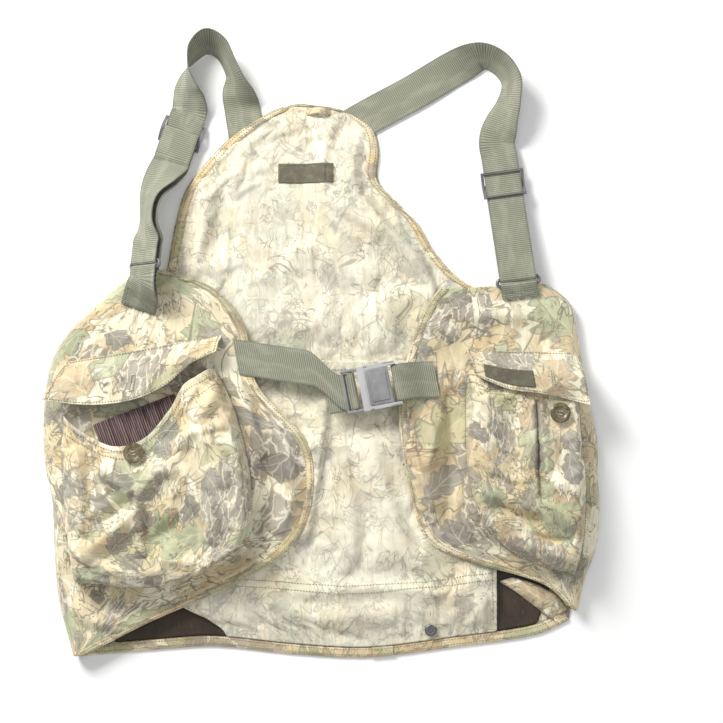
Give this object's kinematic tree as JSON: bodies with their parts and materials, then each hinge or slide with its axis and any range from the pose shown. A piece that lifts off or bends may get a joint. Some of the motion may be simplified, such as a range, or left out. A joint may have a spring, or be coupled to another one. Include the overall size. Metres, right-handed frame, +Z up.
{
  "type": "fishing vest",
  "caption": "Camouflage strap vest lying front up, with bellows pockets, webbing shoulder straps and a chest buckle.",
  "frame": {"origin": "middle of the laid vest's footprint, on the surface it lies on", "axes": "+X is the right side as it lies front up, +Y points to the neck, +Z is up, away from the surface"},
  "size_m": [0.5802, 0.6559, 0.056],
  "materials": {
    "camo_cloth": "printed cotton twill in a leaf and bark camouflage, soft and creased",
    "camo_lining": "the same print seen from its pale inner side, with seams and thin padding",
    "bag_liner": "dark brown waterproof coated cloth",
    "binding_tape": "folded twill tape in the same print, with two rows of stitches",
    "webbing": "grey sage woven webbing with cross ribs",
    "hardware_plastic": "dark grey moulded plastic, semi-gloss",
    "buckle_plastic": "grey moulded plastic with soft highlights",
    "button_horn": "olive brown polished button",
    "button_thread": "pale sewing thread",
    "snap_metal": "gunmetal plated pressed metal",
    "shell_elastic": "plum brown ruched elastic",
    "woven_label": "dark olive woven label with no lettering"
  },
  "bodies": {
    "vest": {"back_binding": "binding_tape", "back_label": "woven_label", "back_lining": "camo_lining", "back_panel": "camo_cloth", "buckle_socket": "buckle_plastic", "chest_webbing_tail": "webbing", "game_bag_liner": "bag_liner", "game_bag_panel": "camo_lining", "hang_loop": "binding_tape", "hem_binding": "binding_tape", "hem_binding_end": "binding_tape", "left_anchor_tab": "webbing", "left_button_thread": "button_thread", "left_chest_webbing": "webbing", "left_front_binding": "binding_tape", "left_front_panel": "camo_cloth", "left_pocket_bag": "camo_cloth", "left_pocket_button": "button_horn", "left_shell_elastic": "shell_elastic", "left_strap_return": "webbing", "left_strap_ring": "hardware_plastic", "left_strap_webbing": "webbing", "right_anchor_tab": "webbing", "right_button_thread": "button_thread", "right_chest_webbing": "webbing", "right_front_binding": "binding_tape", "right_front_panel": "camo_cloth", "right_pocket_bag": "camo_cloth", "right_pocket_button": "button_horn", "right_shell_elastic": "shell_elastic", "right_strap_return": "webbing", "right_strap_ring": "hardware_plastic", "right_strap_webbing": "webbing", "size_tab": "woven_label", "snap_cap": "snap_metal", "snap_post": "snap_metal", "snap_socket": "snap_metal", "snap_stud": "snap_metal"},
    "left_flap": {"left_pocket_flap": "camo_cloth"},
    "right_flap": {"right_pocket_flap": "camo_cloth", "pocket_label": "woven_label"},
    "left_glide": {"left_tri_glide": "hardware_plastic"},
    "right_glide": {"right_tri_glide": "hardware_plastic"},
    "plug": {"buckle_plug": "buckle_plastic"},
    "upper_arm": {"upper_buckle_arm": "buckle_plastic"},
    "lower_arm": {"lower_buckle_arm": "buckle_plastic"}
  },
  "joints": [
    {"name": "left_flap_hinge", "type": "hinge", "parent": "vest", "child": "left_flap", "pos_m": [-0.185, -0.008, 0.0197], "axis": [-0.9854, -0.1703, 0], "range_deg": [0, 105]},
    {"name": "right_flap_hinge", "type": "hinge", "parent": "vest", "child": "right_flap", "pos_m": [0.209, -0.011, 0.0197], "axis": [-0.9998, 0.0175, 0], "range_deg": [0, 95]},
    {"name": "left_glide_slide", "type": "slide", "parent": "vest", "child": "left_glide", "axis": [-0.321, -0.9471, 0], "range_m": [0, 0.018], "deforming": ["left_strap_return"]},
    {"name": "right_glide_slide", "type": "slide", "parent": "vest", "child": "right_glide", "axis": [0.1345, -0.9813, 0.1373], "range_m": [-0.015, 0.04], "deforming": ["right_strap_return"]},
    {"name": "buckle_release", "type": "slide", "parent": "vest", "child": "plug", "axis": [-0.9816, -0.1908, 0], "range_m": [0, 0.024], "deforming": ["left_chest_webbing", "chest_webbing_tail", "upper_buckle_arm", "lower_buckle_arm"]},
    {"name": "upper_arm_squeeze", "type": "hinge", "parent": "plug", "child": "upper_arm", "pos_m": [0.04476, -0.0377, 0.032], "axis": [0, 0, -1], "range_deg": [0, 8], "stiffness_Nm_per_rad": 0.05},
    {"name": "lower_arm_squeeze", "type": "hinge", "parent": "plug", "child": "lower_arm", "pos_m": [0.04953, -0.06224, 0.032], "axis": [0, 0, 1], "range_deg": [0, 8], "stiffness_Nm_per_rad": 0.05}
  ]
}
